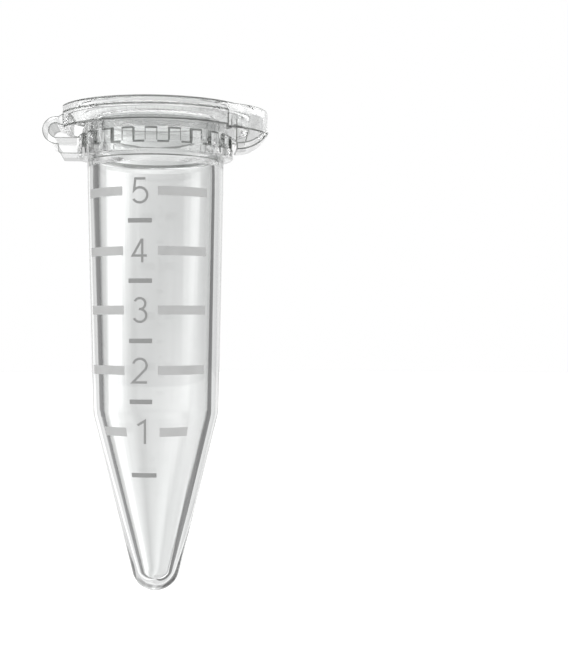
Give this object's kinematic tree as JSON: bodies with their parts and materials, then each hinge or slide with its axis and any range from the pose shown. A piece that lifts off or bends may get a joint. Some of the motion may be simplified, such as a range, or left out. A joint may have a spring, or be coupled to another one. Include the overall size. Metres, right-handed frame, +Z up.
{
  "type": "microcentrifuge tube",
  "caption": "Clear conical sample tube with a castellated collar and a hinged snap lid with plug, thumb lip and latch, graduated in millilitres.",
  "frame": {"origin": "the outside of the conical tip, on the tube's axis", "axes": "+Z up the tube's axis to the lid, -X to the hinge, +X to the thumb lip, -Y to the graduations"},
  "size_m": [0.0274, 0.0236, 0.0595],
  "materials": {
    "clear_plastic": "clear polypropylene, glossy",
    "frosted_marks": "frosted, translucent",
    "printed_marks": "fine matt grey"
  },
  "bodies": {
    "tube": {"tube_body": "clear_plastic", "collar": "clear_plastic", "castellations": "clear_plastic", "mouth_rim": "clear_plastic", "hinge_root": "clear_plastic", "hinge_strap": "clear_plastic", "full_bars_left": "frosted_marks", "full_bars_right": "frosted_marks", "half_bars": "printed_marks", "numeral_1": "printed_marks", "numeral_2": "printed_marks", "numeral_3": "printed_marks", "numeral_4": "printed_marks", "numeral_5": "printed_marks"},
    "lid": {"lid_plate": "clear_plastic", "lid_skirt": "clear_plastic", "lid_plug": "clear_plastic", "sealing_bead": "clear_plastic", "hinge_tab": "clear_plastic", "thumb_lip": "clear_plastic", "latch_hook": "clear_plastic", "latch_rib": "clear_plastic"}
  },
  "joints": [
    {"name": "lid_hinge", "type": "hinge", "parent": "tube", "child": "lid", "pos_m": [-0.0132, 0, 0.0564], "axis": [0, -1, 0], "range_deg": [0, 180], "deforming": ["hinge_strap"]}
  ]
}
